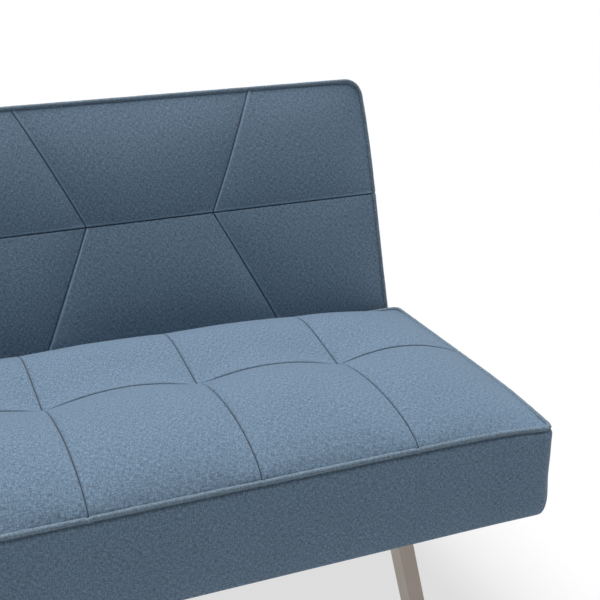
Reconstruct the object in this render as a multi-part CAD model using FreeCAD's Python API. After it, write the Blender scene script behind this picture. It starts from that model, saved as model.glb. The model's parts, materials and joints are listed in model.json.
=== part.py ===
"""Armless click-clack sofa bed.

X runs across the sofa, Y from its front to its back, Z up, all in millimetres. The sofa stands on the
floor at z = 0. While it is drawn, y = 0 is the front of the seat. The back is drawn lying flat, as the bed,
and is then raised about its hinges to the sofa position. At the end everything moves along Y, so that the
origin is at the middle of the footprint.
"""
import FreeCAD
import Part
import math
import os

V = FreeCAD.Vector
AXIS_X = V(1, 0, 0)
AXIS_Y = V(0, 1, 0)
AXIS_Z = V(0, 0, 1)

# Overall sizes
sofa_width = 1680.0        # over the seat's piping
seat_depth = 512.0         # front piping to the seat's rear top edge
seat_top = 365.0           # height of the seat's piping
seat_thickness = 165.0     # piping down to the underside of the seat
back_inset = 15.0          # each end of the back is this much inside the seat's end
back_length = 494.0        # bottom edge to top edge of the back's face
back_thickness = 120.0
back_lean = 19.0           # degrees from upright, in the sofa position
rest_gap = 14.0            # seat's rear edge to the back's face, in the sofa position
bed_gap = 12.0             # seat's rear edge to the back's bottom edge, lying flat
frame_end = 750.0          # front piping to the rear face of the rear legs

# Upholstery
skin = 3.0                 # cloth with its thin wadding
seat_crown = 30.0
back_crown = 20.0
crown_start = 14.0         # edge of the cushion to where its crown begins
crown_run = 55.0           # across the crown's slope
back_crown_clear = 62.0    # extra distance of the back's crown from the bottom edge, beside the seat
seat_corner = 20.0         # radius of the cushions' corners, seen from above
back_corner = 25.0
piping = 9.0               # diameter
piping_proud = 2.0         # how far the piping stands out from the border
rear_cut_depth = 22.0      # the seat's rear face leans in below its top edge
rear_cut_height = 64.0
cell_pitch = 244.0         # seam to seam across the seat
seat_tuft_y = 280.0        # front piping to the row of tufts
back_tuft_s = 276.0        # bottom edge of the back to its row of tufts
back_figure_x = 388.0      # middle of the back to the middle of each quilted figure
back_tuft_spread = 114.0   # each figure's tufts lie this far either side of its middle
rear_pad = 7.0             # wadding behind the back's frame
tie = 3.0                  # tuft ties' diameter
anchor = 24.0              # tuft anchors' diameter
anchor_plate = 3.0
tuft_sink = 16.0           # tie's end under the piping plane
felt = 4.0
dust_cover = 0.8

# Timber
board = 20.0               # thickness of the boards
board_height = 64.0
back_board = 45.0          # depth of the back frame's timber
block_length = 60.0
block_width = 96.0
block_height = 40.0
strap_width = 50.0         # elastic webbing
strap = 2.0

# Zigzag springs
wire = 3.6
zigzag_width = 50.0
zigzag_pitch = 29.0
clip_length = 18.0
clip_width = 20.0
clip_plate = 2.0
felt_clearance = 0.6       # clips to the felt above them

# Legs and rails
leg_width = 25.0
leg_depth = 38.0
leg_wall = 1.5
leg_inset = 235.0          # end of the sofa to the leg's middle, at its top
leg_splay = 0.22           # outward run for each unit of drop
leg_setback = 29.0         # front piping to the front face of the front legs
foot_height = 12.0         # plastic foot cap outside the tube
foot_lap = 1.2             # the cap is this much larger than the tube all round
mount_plate = 4.0
mount_side = 76.0
rail_height = 35.0
rail_width = 30.0
rail_wall = 1.5
front_rail_y = 90.0        # front piping to the middle of the front cross rail
middle_rail_y = 462.0
cross_rail_width = 25.0
rest_rail = 38.0           # square tube behind the seat
rest_overhang = 52.0       # rest rail beyond the legs' middle
pad_height = 6.7
rest_clearance = 0.3       # pads to the underside of the flat back
pad_length = 60.0
pad_width = 30.0
cap_plate = 3.0

# Hinges
pivot_depth = 42.0         # back's face to the pivot
hinge_plate = 4.0
hinge_gap = 0.3
hub_radius = 26.0          # to the tips of the ratchet teeth
tooth_depth = 2.2
tooth_count = 8
tooth_pitch = 11.0         # degrees
head_radius = 17.0
neck_width = 20.0
neck_drop = 48.0           # degrees the neck falls from the pivot towards the front
column_clearance = 4.0
column_lap = 17.4          # column above the middle of the neck's end
foot_plate_end = 36.0      # foot plate behind the column
pin_radius = 5.0
running_clearance = 0.05
pin_head = 6.0
slot_front = 9.5           # back's face to the front of the hinge slot
slot_rear = 98.0           # back's face to the rear of the hinge slot
slot_inboard = 15.0
slot_outboard = 12.0
pawl_reach = 40.0          # pivot to the pawl's pin, along the neck
pawl_offset = 7.0          # pawl's pin beside the neck's middle
pawl_boss = 8.0
pawl_radius = 5.5
pawl_pin_radius = 2.5
pawl_gap = 0.7             # pawl's nose to the tips of the teeth
pawl_pin_rim = 2.0         # thickness of the pawl pin's head
pawl_spring_wire = 1.0
pawl_spring_pitch = 1.3
pawl_spring_turns = 3
arm_strap_start = 34.0     # pivot to the wide part of the hinge arm
arm_strap_length = 120.0
arm_strap_width = 32.0

# Fasteners
bolt = 8.0
bolt_head = 13.0
bolt_head_height = 5.3
wood_grip = 30.0           # bolt's length in a block or rib
arm_bolt = 6.0
arm_bolt_head = 10.0
arm_bolt_head_height = 4.0

# What follows from them
half_width = sofa_width / 2
back_half = half_width - back_inset
seat_bottom = seat_top - seat_thickness
lean = math.radians(back_lean)
pivot_z = seat_top - pivot_depth
pivot_y = seat_depth + rest_gap + pivot_depth * (1 - math.sin(lean)) / math.cos(lean)
back_bottom = seat_depth + bed_gap
back_top = back_bottom + back_length
back_under = seat_top - back_thickness
rest_top = back_under - rest_clearance - pad_height
rest_bottom = rest_top - rest_rail
seat_rear = seat_depth - rear_cut_depth
leg_top_x = half_width - leg_inset
rail_x = leg_top_x + leg_splay * rail_height / 2
rail_top = seat_bottom
rail_bottom = rail_top - rail_height
board_bottom = seat_bottom + dust_cover
board_top = board_bottom + board_height
frame_front = piping_proud + skin
frame_rear = seat_rear - skin
frame_side = half_width - piping_proud - skin
felt_bottom = board_top + wire + clip_plate + felt_clearance
foam_bottom = felt_bottom + felt
leg_rear = leg_setback + leg_depth
rear_leg_front = frame_end - leg_depth
wood_rear = back_thickness - skin - rear_pad   # back's face to the rear of its timber
wood_front = wood_rear - back_board
stile_x = rail_x - hinge_plate / 2 - hinge_gap - hinge_plate
back_side = back_half - piping_proud - skin
raise_angle = 90.0 - back_lean
PIVOT = V(0, pivot_y, pivot_z)

nodes = {}


def box(x, y, z):
    """Block between the two values of each axis."""
    return Part.makeBox(x[1] - x[0], y[1] - y[0], z[1] - z[0], V(x[0], y[0], z[0]))


def rod(start, direction, radius, length):
    return Part.makeCylinder(radius, length, start, direction)


def plate_x(points, x):
    """Flat plate with an outline in Y and Z, between two values of X."""
    corners = [V(x[0], y, z) for y, z in points]
    outline = Part.makePolygon(corners + corners[:1])
    return Part.Face(outline).extrude(V(x[1] - x[0], 0, 0))


def disc_x(centre, radius, x):
    return rod(V(x[0], centre.y, centre.z), AXIS_X, radius, x[1] - x[0])


def tube_x(x, y, z, wall):
    return box(x, y, z).cut(box(x, (y[0] + wall, y[1] - wall), (z[0] + wall, z[1] - wall)))


def tube_y(x, y, z, wall):
    return box(x, y, z).cut(box((x[0] + wall, x[1] - wall), y, (z[0] + wall, z[1] - wall)))


def hexagon_head(centre, direction, across, height):
    """Hexagonal head that grows from centre along direction."""
    side = AXIS_X if abs(direction.x) < 0.5 else AXIS_Y
    turn = FreeCAD.Rotation(direction, 60)
    corner = side * (across / math.sqrt(3))
    corners = []
    for _ in range(6):
        corners.append(centre + corner)
        corner = turn.multVec(corner)
    return Part.Face(Part.makePolygon(corners + corners[:1])).extrude(direction * height)


def bolt_solid(seat, direction, diameter, length, across, height):
    """Bolt whose head sits on seat and whose shank goes along direction."""
    head = hexagon_head(seat, direction * -1, across, height)
    return rod(seat, direction, diameter / 2, length).fuse(head).removeSplitter()


def mirrored(shape):
    return shape.mirror(V(0, 0, 0), AXIS_X)


def both_sides(shapes):
    return shapes + [mirrored(s) for s in shapes]


def add(name, shapes):
    """Keeps every solid of the shapes under one name."""
    nodes[name] = [solid for shape in shapes for solid in shape.Solids]


def add_pair(name, shape):
    """The sofa's left and right copies of a piece that is drawn on the +X side."""
    add("right_" + name, [shape])
    add("left_" + name, [mirrored(shape)])


def raised(shapes):
    """The back's pieces are drawn lying flat: this swings them up to the sofa position."""
    return [s.copy().rotated(PIVOT, AXIS_X, raise_angle) for s in shapes]


def rounded_block(x, y, z, front_radius, rear_radius):
    """Block with its upright corners rounded."""
    block = box(x, y, z)
    for at_y, radius in ((y[0], front_radius), (y[1], rear_radius)):
        if radius > 0:
            edges = [e for e in block.Edges if upright_at(e, at_y)]
            block = block.makeFillet(radius, edges)
    return block


def upright_at(edge, y):
    ends = [v.Point for v in edge.Vertexes]
    upright = len(ends) == 2 and abs(ends[0].z - ends[1].z) > 1
    return upright and all(abs(p.y - y) < 1e-6 for p in ends)


def crown(x, y, z, height, run):
    """Low pyramid on top of a cushion."""
    low = ring(x, y, z)
    high = ring((x[0] + run, x[1] - run), (y[0] + run, y[1] - run), z + height)
    return Part.makeLoft([low, high], True, True)


def ring(x, y, z):
    corners = [V(x[0], y[0], z), V(x[1], y[0], z), V(x[1], y[1], z), V(x[0], y[1], z)]
    return Part.makePolygon(corners + corners[:1])


def cord_loop(half, y, z, front_radius, rear_radius):
    """Round cord laid in a closed rectangle with rounded corners, at one height."""
    x0, x1 = -half, half
    y0, y1 = y
    f, r = front_radius, rear_radius
    corners = [
        (V(x1 - f, y0, z), V(x1, y0 + f, z), V(x1 - f, y0 + f, z), f, -45),
        (V(x1, y1 - r, z), V(x1 - r, y1, z), V(x1 - r, y1 - r, z), r, 45),
        (V(x0 + r, y1, z), V(x0, y1 - r, z), V(x0 + r, y1 - r, z), r, 135),
        (V(x0, y0 + f, z), V(x0 + f, y0, z), V(x0 + f, y0 + f, z), f, 225),
    ]
    edges = []
    last = corners[-1][1]
    for start, end, centre, radius, degrees in corners:
        angle = math.radians(degrees)
        middle = centre + V(math.cos(angle), math.sin(angle), 0) * radius
        edges.append(Part.LineSegment(last, start).toShape())
        edges.append(Part.Arc(start, middle, end).toShape())
        last = end
    path = Part.Wire(edges)
    begin = corners[-1][1]
    section = Part.Wire([Part.Circle(begin, AXIS_X, piping / 2).toShape()])
    return path.makePipeShell([section], True, False)


# ------------------------------------------------------------------ legs and rails

def leg_middle(z):
    """X of a right leg's middle at a height: the leg leans outwards as it goes down."""
    return leg_top_x + leg_splay * (seat_bottom - z)


def leaning_prism(y, z, grow):
    """Stretch of a right leg between two heights, grown or shrunk all round."""
    half = leg_width / 2 + grow
    x = leg_middle(z[0])
    base = Part.Face(ring((x - half, x + half), (y[0] - grow, y[1] + grow), z[0]))
    return base.extrude(V(leg_middle(z[1]) - x, 0, z[1] - z[0]))


def leg(y, top):
    """Tube of a right leg, up to the plate whose top is at this height."""
    z = (mount_plate, top - mount_plate)
    hollow = (z[0] - 1, z[1] + 1)
    return leaning_prism(y, z, 0).cut(leaning_prism(y, hollow, -leg_wall))


def foot(y):
    """Plastic cap: a sole under the tube, a collar round it and a plug inside it."""
    sole = leaning_prism(y, (0, mount_plate), foot_lap)
    collar = leaning_prism(y, (mount_plate, foot_height), foot_lap)
    collar = collar.cut(leaning_prism(y, (mount_plate, foot_height), 0))
    plug = leaning_prism(y, (mount_plate, foot_height), -leg_wall)
    return sole.fuse([collar, plug]).removeSplitter()


def mount(y, top):
    """Plate welded on top of a leg, with a hole each side for its bolts."""
    x = leg_middle(top)
    plate = box((x - mount_side / 2, x + mount_side / 2), y, (top - mount_plate, top))
    for hole in mount_bolt_places(y, top):
        plate = plate.cut(rod(V(hole.x, hole.y, 0), AXIS_Z, bolt / 2, seat_top))
    return plate


def mount_bolt_places(y, top):
    """Under a leg's plate, either side of the tube."""
    x = leg_middle(top)
    reach = mount_side / 2 - bolt_head / 2 - 1
    middle = (y[0] + y[1]) / 2
    z = top - mount_plate
    return [V(x - reach, middle, z), V(x + reach, middle, z)]


front_leg_y = (leg_setback, leg_rear)
rear_leg_y = (rear_leg_front, frame_end)
for place, leg_y, top in (("front", front_leg_y, rail_top), ("rear", rear_leg_y, rest_bottom)):
    right_leg = leg(leg_y, top)
    add(place + "_right_leg", [right_leg])
    add(place + "_left_leg", [mirrored(right_leg)])
add("leg_feet", both_sides([foot(front_leg_y), foot(rear_leg_y)]))
add("leg_plates", both_sides([mount(front_leg_y, rail_top), mount(rear_leg_y, rest_bottom)]))


def seat_bolt_places():
    """Under the side rail, where its bolts go up into the seat's ribs."""
    start, end = leg_rear, middle_rail_y
    return [V(rail_x, start + (end - start) * share, rail_bottom) for share in (0.3, 0.8)]


def hinge_bolt_places():
    """On the hinge bracket's foot, behind its column."""
    first = back_bottom - column_clearance + bolt_head / 2 + 2
    return [V(rail_x, first + step, rail_top + hinge_plate) for step in (0, bolt_head + 3)]


def side_rail():
    x = (rail_x - rail_width / 2, rail_x + rail_width / 2)
    rail = tube_y(x, (leg_rear, rear_leg_front), (rail_bottom, rail_top), rail_wall)
    for p in seat_bolt_places():
        rail = rail.cut(rod(V(p.x, p.y, rail_bottom - 1), AXIS_Z, bolt / 2, rail_height + 2))
    for p in hinge_bolt_places():
        rail = rail.cut(rod(V(p.x, p.y, rail_top - 2 * rail_wall), AXIS_Z, bolt / 2, 4 * rail_wall))
    return rail


def cross_rail(middle):
    half = rail_x - rail_width / 2
    y = (middle - cross_rail_width / 2, middle + cross_rail_width / 2)
    return tube_x((-half, half), y, (rail_bottom, rail_top), rail_wall)


add_pair("side_rail", side_rail())
add("front_cross_rail", [cross_rail(front_rail_y)])
add("middle_cross_rail", [cross_rail(middle_rail_y)])

# The rest rail lies on the rear legs and carries the back when it is flat
rest_half = leg_middle(rest_bottom) + rest_overhang
rest_y = (frame_end - rest_rail, frame_end)
rest = tube_x((-rest_half, rest_half), rest_y, (rest_bottom, rest_top), rail_wall)
for side in (1, -1):
    for p in mount_bolt_places(rear_leg_y, rest_bottom):
        rest = rest.cut(rod(V(side * p.x, p.y, rest_bottom - 1), AXIS_Z, bolt / 2, rail_wall + 2))
add("rest_rail", [rest])
cap_y = (rest_y[0] + rail_wall, rest_y[1] - rail_wall)
cap_z = (rest_bottom + rail_wall, rest_top - rail_wall)
cap = box((rest_half, rest_half + cap_plate), rest_y, (rest_bottom, rest_top))
cap = cap.fuse(box((rest_half - 4 * cap_plate, rest_half), cap_y, cap_z)).removeSplitter()
add("rail_end_caps", both_sides([cap]))
pad_y = (rest_y[0] + (rest_rail - pad_width) / 2, rest_y[1] - (rest_rail - pad_width) / 2)
pad_z = (rest_top, rest_top + pad_height)
pad_places = (rest_half - pad_length, rest_half / 3)
pads = [box((x - pad_length / 2, x + pad_length / 2), pad_y, pad_z) for x in pad_places]
add("rest_pads", both_sides(pads))

front_bolts = [
    bolt_solid(p, AXIS_Z, bolt, mount_plate + wood_grip, bolt_head, bolt_head_height)
    for p in mount_bolt_places(front_leg_y, rail_top)
]
rear_bolts = [
    bolt_solid(p, AXIS_Z, bolt, mount_plate + rest_rail / 2, bolt_head, bolt_head_height)
    for p in mount_bolt_places(rear_leg_y, rest_bottom)
]
add("leg_bolts", both_sides(front_bolts + rear_bolts))
seat_bolts = [
    bolt_solid(p, AXIS_Z, bolt, rail_height + wood_grip, bolt_head, bolt_head_height)
    for p in seat_bolt_places()
]
add("seat_fixing_bolts", both_sides(seat_bolts))


# ------------------------------------------------------------------ seat

def seat_body(inset, bottom):
    """Seat cushion's outer form, inset all round, from bottom up to its crown."""
    side = half_width - piping_proud - inset
    front = piping_proud + inset
    top = seat_top - inset
    corner = seat_corner - inset
    block = rounded_block((-side, side), (front, seat_depth), (bottom, top), corner, 0)
    rear = seat_rear - inset
    edge = seat_depth - piping_proud - inset
    cut_z = seat_top - rear_cut_height
    behind = seat_depth + 1
    waste = [(edge, top), (rear, cut_z), (rear, bottom), (behind, bottom), (behind, top)]
    block = block.cut(plate_x(waste, (-half_width, half_width)))
    start = crown_start + inset
    x = (-half_width + start, half_width - start)
    y = (start, seat_depth - start)
    return block.fuse(crown(x, y, top, seat_crown, crown_run)).removeSplitter()


pipe_inset = piping / 2
seat_pipe = cord_loop(
    half_width - pipe_inset, (pipe_inset, seat_depth - pipe_inset), seat_top, seat_corner, seat_corner
)
add("seat_piping", [seat_pipe])
seat_shell = seat_body(0, seat_bottom).cut(seat_body(skin, seat_bottom - 1))
add("seat_cover", [seat_shell.cut(seat_pipe)])
add("seat_foam", [seat_body(skin, foam_bottom).cut(seat_pipe)])

inner_front = frame_front + board
inner_rear = frame_rear - board
inner_side = frame_side - board
board_z = (board_bottom, board_top)
front_board = box((-frame_side, frame_side), (frame_front, inner_front), board_z)
front_board = front_board.common(seat_body(skin, board_bottom))
add("seat_front_board", [front_board])
add("seat_rear_board", [box((-frame_side, frame_side), (inner_rear, frame_rear), board_z)])
end_board = box((inner_side, frame_side), (inner_front, inner_rear), board_z)
add("seat_end_boards", both_sides([end_board]))


def block_behind(x):
    """Timber block over a front leg, for its bolts."""
    z = (board_bottom, board_bottom + block_height)
    sides = (x - block_width / 2, x + block_width / 2)
    block = box(sides, (inner_front, inner_front + block_length), z)
    for p in mount_bolt_places(front_leg_y, rail_top):
        block = block.cut(rod(V(p.x, p.y, 0), AXIS_Z, bolt / 2, rail_top + wood_grip))
    return block


add("seat_leg_blocks", both_sides([block_behind(leg_top_x)]))
rib_y = (inner_front + block_length, inner_rear)
rib = box((rail_x - board / 2, rail_x + board / 2), rib_y, board_z)
for p in seat_bolt_places():
    rib = rib.cut(rod(V(p.x, p.y, 0), AXIS_Z, bolt / 2, rail_top + wood_grip))
middle_rib = box((-board / 2, board / 2), (inner_front, inner_rear), board_z)
add("seat_ribs", both_sides([rib]) + [middle_rib])

dust = box((-frame_side, frame_side), (frame_front, frame_rear), (seat_bottom, board_bottom))
dust = dust.common(seat_body(skin, seat_bottom - 1))
for side in (1, -1):
    for p in seat_bolt_places() + mount_bolt_places(front_leg_y, rail_top):
        dust = dust.cut(rod(V(side * p.x, p.y, 0), AXIS_Z, bolt / 2, seat_top))
add("seat_dust_cover", [dust])

felt_z = (felt_bottom, foam_bottom)
felt_pad = box((-frame_side, frame_side), (frame_front, frame_rear), felt_z)
add("seat_felt_pad", [felt_pad.common(seat_body(skin, felt_z[0]))])


def zigzag(x):
    """One zigzag spring, from the front board to the rear board, lying on top of both."""
    z = board_top + wire / 2
    first = frame_front + board / 2 + clip_length / 2
    last = frame_rear - board / 2 - clip_length / 2
    turns = int((last - first) / zigzag_pitch)
    pitch = (last - first) / turns
    radius = pitch / 2
    reach = zigzag_width / 2 - radius
    edges = []
    side = 1
    start = V(x - side * reach, first, z)
    for i in range(turns):
        y = first + i * pitch
        end = V(x + side * reach, y, z)
        edges.append(Part.LineSegment(start, end).toShape())
        bulge = V(x + side * (reach + radius), y + radius, z)
        start = V(x + side * reach, y + pitch, z)
        edges.append(Part.Arc(end, bulge, start).toShape())
        side = -side
    edges.append(Part.LineSegment(start, V(x + side * reach, last, z)).toShape())
    section = Part.Wire([Part.Circle(V(x - reach, first, z), AXIS_X, wire / 2).toShape()])
    return Part.Wire(edges).makePipeShell([section], True, False)


def clip(x, y):
    """Sheet clip that folds over the spring's end run and is nailed to the board."""
    half = clip_width / 2
    low = board_top
    high = low + wire + clip_plate
    body = box((x - half, x + half), (y - clip_length / 2, y + clip_length / 2), (low, high))
    hollow = box((x - half, x + half), (y - wire / 2, y + wire / 2), (low, low + wire))
    return body.cut(hollow)


springs_each_side = int((inner_side - board - zigzag_width / 2) / cell_pitch)
spring_places = [i * cell_pitch for i in range(-springs_each_side, springs_each_side + 1)]
spring_ends = (frame_front + board / 2 + clip_length / 2, frame_rear - board / 2 - clip_length / 2)
add("seat_springs", [zigzag(x + board) for x in spring_places])
add("spring_clips", [clip(x + board, y) for x in spring_places for y in spring_ends])

columns_each_side = int(sofa_width / cell_pitch / 2)
tuft_columns = [(i + 0.5) * cell_pitch for i in range(-columns_each_side, columns_each_side)]
tie_top = seat_top - tuft_sink
anchor_top = felt_bottom
seat_ties = []
seat_anchors = []
for x in tuft_columns:
    seat_ties.append(rod(V(x, seat_tuft_y, anchor_top), AXIS_Z, tie / 2, tie_top - anchor_top))
    disc = rod(V(x, seat_tuft_y, anchor_top - anchor_plate), AXIS_Z, anchor / 2, anchor_plate)
    seat_anchors.append(disc)
add("seat_tuft_ties", seat_ties)
add("seat_tuft_anchors", seat_anchors)


# ------------------------------------------------------------------ hinges

def from_pivot(along, beside):
    """Point at a distance from the pivot along the neck, and beside it towards the rear."""
    drop = math.radians(neck_drop)
    forward = V(0, -math.cos(drop), -math.sin(drop))
    rearward = V(0, math.sin(drop), -math.cos(drop))
    return PIVOT + forward * along + rearward * beside


plate_x_range = (rail_x - hinge_plate / 2, rail_x + hinge_plate / 2)
arm_x_range = (stile_x, stile_x + hinge_plate)
column_y = (seat_rear + column_clearance, back_bottom - column_clearance)
neck_length = (pivot_y - (column_y[0] + column_y[1]) / 2) / math.cos(math.radians(neck_drop))
column_top = from_pivot(neck_length, 0).z + column_lap
pawl_pivot = from_pivot(pawl_reach, pawl_offset)


def bracket():
    """Fixed half of the hinge: foot, column, neck and head, bolted to the side rail."""
    x = plate_x_range
    column = box(x, column_y, (rail_top, column_top))
    half = neck_width / 2
    corners = [from_pivot(0, half), from_pivot(neck_length, half)]
    corners += [from_pivot(neck_length, -half), from_pivot(0, -half)]
    neck = plate_x([(p.y, p.z) for p in corners], x)
    head = disc_x(PIVOT, head_radius, x)
    boss = disc_x(pawl_pivot, pawl_boss, x)
    foot_x = (rail_x - rail_width / 2, rail_x + rail_width / 2)
    foot_y = (column_y[0], column_y[1] + foot_plate_end)
    base = box(foot_x, foot_y, (rail_top, rail_top + hinge_plate))
    shape = column.fuse([neck, head, boss, base]).removeSplitter()
    shape = shape.cut(disc_x(PIVOT, pin_radius, x))
    shape = shape.cut(disc_x(pawl_pivot, pawl_pin_radius, x))
    for p in hinge_bolt_places():
        shape = shape.cut(rod(V(p.x, p.y, rail_top - 1), AXIS_Z, bolt / 2, 4 * hinge_plate))
    return shape


def ratchet(x):
    """Hub with teeth on the stretch of its rim that passes the pawl as the back turns."""
    root = hub_radius - tooth_depth
    hub = disc_x(PIVOT, root, x)
    pawl_side = 180 + neck_drop
    first = pawl_side - raise_angle - tooth_pitch
    for i in range(tooth_count):
        start = math.radians(first + i * tooth_pitch)
        end = math.radians(first + (i + 0.9) * tooth_pitch)
        points = [(pivot_y, pivot_z)]
        for angle, radius in ((start, root), (start, hub_radius), (end, root)):
            points.append((pivot_y + radius * math.cos(angle), pivot_z + radius * math.sin(angle)))
        hub = hub.fuse(plate_x(points, x))
    return hub.removeSplitter()


def hinge_arm():
    """Moving half of the hinge, lying flat: ratchet hub and the strap bolted to the stile."""
    x = arm_x_range
    strap_z = seat_top - (wood_front + wood_rear) / 2
    low, high = strap_z - arm_strap_width / 2, strap_z + arm_strap_width / 2
    start = pivot_y + arm_strap_start
    root = hub_radius - tooth_depth
    web = [(pivot_y, pivot_z + root), (start, high), (start, low), (pivot_y, pivot_z - root)]
    strap_box = box(x, (start, start + arm_strap_length), (low, high))
    shape = ratchet(x).fuse([plate_x(web, x), strap_box]).removeSplitter()
    shape = shape.cut(disc_x(PIVOT, pin_radius + running_clearance, x))
    for p in arm_bolt_places():
        shape = shape.cut(disc_x(p, arm_bolt / 2, x))
    return shape


def arm_bolt_places():
    z = seat_top - (wood_front + wood_rear) / 2
    start = pivot_y + arm_strap_start
    return [V(0, start + arm_strap_length * share, z) for share in (0.35, 0.85)]


def pawl():
    """Ratchet pawl beside the fixed plate: its nose lies just clear of the teeth."""
    nose = from_pivot(hub_radius + pawl_gap, -pawl_offset / 2)
    heel = from_pivot(hub_radius + pawl_gap + 2, pawl_offset / 2)
    reach = (pawl_pivot - nose).Length
    toward = (nose - pawl_pivot) * (1 / reach)
    across = V(0, -toward.z, toward.y)
    root_a = pawl_pivot + across * pawl_radius
    root_b = pawl_pivot - across * pawl_radius
    points = [(p.y, p.z) for p in (root_a, nose, heel, root_b)]
    shape = disc_x(pawl_pivot, pawl_radius, arm_x_range).fuse(plate_x(points, arm_x_range))
    hole = disc_x(pawl_pivot, pawl_pin_radius + running_clearance, arm_x_range)
    return shape.removeSplitter().cut(hole)


nut_face = stile_x - hinge_gap
outer_face = plate_x_range[1]
pivot_bolt = disc_x(PIVOT, pin_radius, (nut_face - 2 * hinge_plate, outer_face))
pivot_bolt = pivot_bolt.fuse(hexagon_head(V(outer_face, pivot_y, pivot_z), AXIS_X, 17, pin_head))
pivot_washer = disc_x(PIVOT, 10, (nut_face - 1.5, nut_face)).cut(disc_x(PIVOT, pin_radius, (0, rail_x)))
nut_start = V(nut_face - 1.5, pivot_y, pivot_z)
pivot_nut = hexagon_head(nut_start, AXIS_X * -1, 17, pin_head).cut(disc_x(PIVOT, pin_radius, (0, rail_x)))
add_pair("hinge_bracket", bracket())
add("pivot_bolts", both_sides([pivot_bolt.removeSplitter()]))
add("pivot_washers", both_sides([pivot_washer]))
add("pivot_nuts", both_sides([pivot_nut]))
foot_bolts = [
    bolt_solid(p, AXIS_Z * -1, bolt, hinge_plate + 4 * rail_wall, bolt_head, bolt_head_height)
    for p in hinge_bolt_places()
]
add("hinge_foot_bolts", both_sides(foot_bolts))

add_pair("pawl", pawl())
spring_length = pawl_spring_turns * pawl_spring_pitch + pawl_spring_wire
spring_end = stile_x - hinge_gap
pin_rim = (outer_face, outer_face + pawl_pin_rim)
pawl_pin = disc_x(pawl_pivot, pawl_pin_radius, (spring_end - spring_length, outer_face))
pawl_pin = pawl_pin.fuse(disc_x(pawl_pivot, 2 * pawl_pin_radius, pin_rim))
add("pawl_pins", both_sides([pawl_pin.removeSplitter()]))


def pawl_spring():
    """Small torsion spring round the pawl's pin, beside the pawl."""
    radius = pawl_pin_radius + pawl_spring_wire / 2 + hinge_gap
    turns = pawl_spring_turns * pawl_spring_pitch
    helix = Part.makeHelix(pawl_spring_pitch, turns, radius)
    section = Part.Wire([Part.Circle(V(radius, 0, 0), AXIS_Y, pawl_spring_wire / 2).toShape()])
    coil = Part.Wire(helix.Edges).makePipeShell([section], True, True)
    coil.rotate(V(0, 0, 0), AXIS_Y, -90)
    coil.translate(V(spring_end - pawl_spring_wire / 2, pawl_pivot.y, pawl_pivot.z))
    return coil


add("pawl_springs", both_sides([pawl_spring()]))

add_pair("hinge_arm", raised([hinge_arm()])[0])


# ------------------------------------------------------------------ back, drawn lying flat

def back_body(inset):
    """Back cushion's outer form, inset all round, with its crown."""
    side = back_half - piping_proud - inset
    y = (back_bottom + piping_proud + inset, back_top - piping_proud - inset)
    z = (back_under + inset, seat_top - inset)
    block = rounded_block((-side, side), y, z, seat_corner - inset, back_corner - inset)
    start = crown_start + inset
    x = (-back_half + start, back_half - start)
    face_y = (back_bottom + start + back_crown_clear, back_top - start)
    return block.fuse(crown(x, face_y, z[1], back_crown, crown_run)).removeSplitter()


def hinge_slots(depth_from, depth_to):
    """Room in the back for the hinge, open at the back's bottom edge."""
    x = (rail_x - slot_inboard, rail_x + slot_outboard)
    y = (back_bottom - 1, pivot_y + hub_radius + 4)
    slot = box(x, y, (seat_top - depth_to, seat_top - depth_from))
    return both_sides([slot])


back_pipe = cord_loop(
    back_half - pipe_inset,
    (back_bottom + pipe_inset, back_top - pipe_inset),
    seat_top,
    seat_corner,
    back_corner,
)
wood_z = (seat_top - wood_rear, seat_top - wood_front)
outer = back_body(0)
inner = back_body(skin)
rear_sheet_z = (back_under, back_under + skin)
rear_waste = box((-back_side, back_side), (back_bottom + frame_front, back_top - frame_front), rear_sheet_z)
cover = outer.cut(inner).cut(rear_waste).cut(back_pipe)
for slot in hinge_slots(slot_front, slot_rear):
    cover = cover.cut(slot)
foam_box = box((-back_side, back_side), (back_bottom, back_top), (wood_z[1], seat_top + back_crown))
foam = inner.common(foam_box).cut(back_pipe)
for slot in hinge_slots(slot_front, slot_rear):
    foam = foam.cut(slot)
rear_panel = rear_waste.common(outer)
pad_box = box((-back_side, back_side), (back_bottom, back_top), (rear_sheet_z[1], wood_z[0]))
wadding = inner.common(pad_box)

add("back_cover", raised([cover]))
add("back_foam", raised([foam]))
add("back_rear_pad", raised([wadding]))
add("back_rear_panel", raised([rear_panel]))
add("back_piping", raised([back_pipe]))

# Frame of the back
wood_bottom = back_bottom + frame_front
wood_top = back_top - frame_front
rail_low = (pivot_y + hub_radius + 10, pivot_y + hub_radius + 10 + board)
rail_high = (wood_top - board, wood_top)
stile_y = (wood_bottom, rail_high[0])
hinge_stile_y = (rail_low[0], rail_high[0])
hinge_stile_x = (stile_x - board, stile_x)
arm_outer = arm_x_range[1]
end_stile_x = (back_side - board, back_side)
add("back_top_rail", raised([box((-back_side, back_side), rail_high, wood_z).common(inner)]))
middle_piece = box((-hinge_stile_x[0], hinge_stile_x[0]), rail_low, wood_z)
outer_piece = box((arm_outer, end_stile_x[0]), rail_low, wood_z)
add("back_bottom_rail", raised([middle_piece] + both_sides([outer_piece])))
end_stile = box(end_stile_x, stile_y, wood_z).common(inner)
add("back_end_stiles", raised(both_sides([end_stile])))
hinge_stile = box(hinge_stile_x, hinge_stile_y, wood_z)
for p in arm_bolt_places():
    hinge_stile = hinge_stile.cut(disc_x(p, arm_bolt / 2, hinge_stile_x))
add("back_hinge_stiles", raised(both_sides([hinge_stile])))
add("back_middle_stile", raised([box((-board / 2, board / 2), (rail_low[1], rail_high[0]), wood_z)]))

strap_z = (wood_z[1] - strap, wood_z[1])
straps = []
for i in range(columns_each_side):
    x = (i + 0.5) * cell_pitch
    length = (rail_low[0], rail_high[1])
    straps.append(box((x - strap_width / 2, x + strap_width / 2), length, strap_z))
strap_all = both_sides(straps)

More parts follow.
